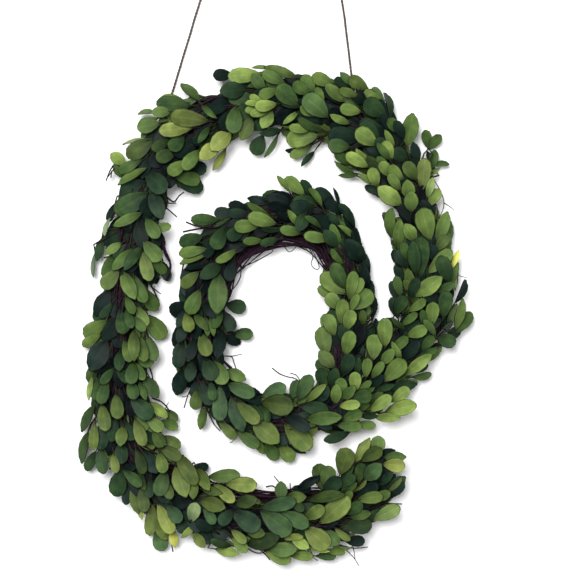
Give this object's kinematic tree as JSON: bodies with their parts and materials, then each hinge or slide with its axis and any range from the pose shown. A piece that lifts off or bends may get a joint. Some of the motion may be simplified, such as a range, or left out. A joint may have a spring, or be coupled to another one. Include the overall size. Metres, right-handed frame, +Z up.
{
  "type": "boxwood wreath",
  "caption": "Boxwood wreath in the shape of an at sign, lying on its back: leafy sprigs wired along a spiral of twisted vine, with a jute twine to hang it by.",
  "frame": {"origin": "on the surface that the wreath lies on, under the middle of its outline without the twine", "axes": "+Z up, from the wreath's back to its leaves; +Y towards the top of the wreath, where the twine is tied; +X to the right as seen from the front"},
  "size_m": [0.3552, 0.587, 0.0409],
  "materials": {
    "vine": "rough dark bark",
    "twine": "twisted jute",
    "wire": "dull green lacquer",
    "dark_leaves": "waxy, low gloss",
    "green_leaves": "waxy, low gloss",
    "light_leaves": "waxy, low gloss"
  },
  "bodies": {
    "root": {"vine_strand_1": "vine", "vine_strand_2": "vine", "vine_strand_3": "vine", "binding_wire": "wire", "twine_hanger": "twine", "twine_tie_left": "twine", "twine_tie_right": "twine", "bunch_01": "light_leaves", "bunch_02": "light_leaves", "bunch_03": "light_leaves", "bunch_04": "green_leaves", "bunch_05": "green_leaves", "bunch_06": "dark_leaves", "bunch_07": "dark_leaves", "bunch_08": "dark_leaves", "bunch_09": "dark_leaves", "bunch_10": "dark_leaves", "bunch_11": "dark_leaves", "bunch_12": "dark_leaves", "bunch_13": "dark_leaves", "bunch_14": "green_leaves", "bunch_15": "green_leaves", "bunch_16": "green_leaves", "bunch_17": "light_leaves", "bunch_18": "light_leaves", "bunch_19": "light_leaves", "bunch_20": "light_leaves", "bunch_21": "green_leaves", "bunch_22": "green_leaves", "bunch_23": "light_leaves", "bunch_24": "green_leaves", "bunch_25": "green_leaves", "bunch_26": "green_leaves", "bunch_27": "green_leaves", "bunch_28": "green_leaves", "bunch_29": "green_leaves", "bunch_30": "green_leaves", "bunch_31": "green_leaves", "bunch_32": "green_leaves", "bunch_33": "green_leaves", "bunch_34": "green_leaves", "bunch_35": "dark_leaves", "bunch_36": "dark_leaves", "bunch_37": "green_leaves", "bunch_38": "green_leaves", "bunch_39": "green_leaves", "bunch_40": "green_leaves", "bunch_41": "green_leaves", "bunch_42": "green_leaves", "bunch_43": "green_leaves", "bunch_44": "green_leaves", "bunch_45": "light_leaves", "bunch_46": "green_leaves", "bunch_47": "light_leaves", "bunch_48": "green_leaves", "bunch_49": "light_leaves", "bunch_50": "light_leaves"}
  },
  "joints": []
}
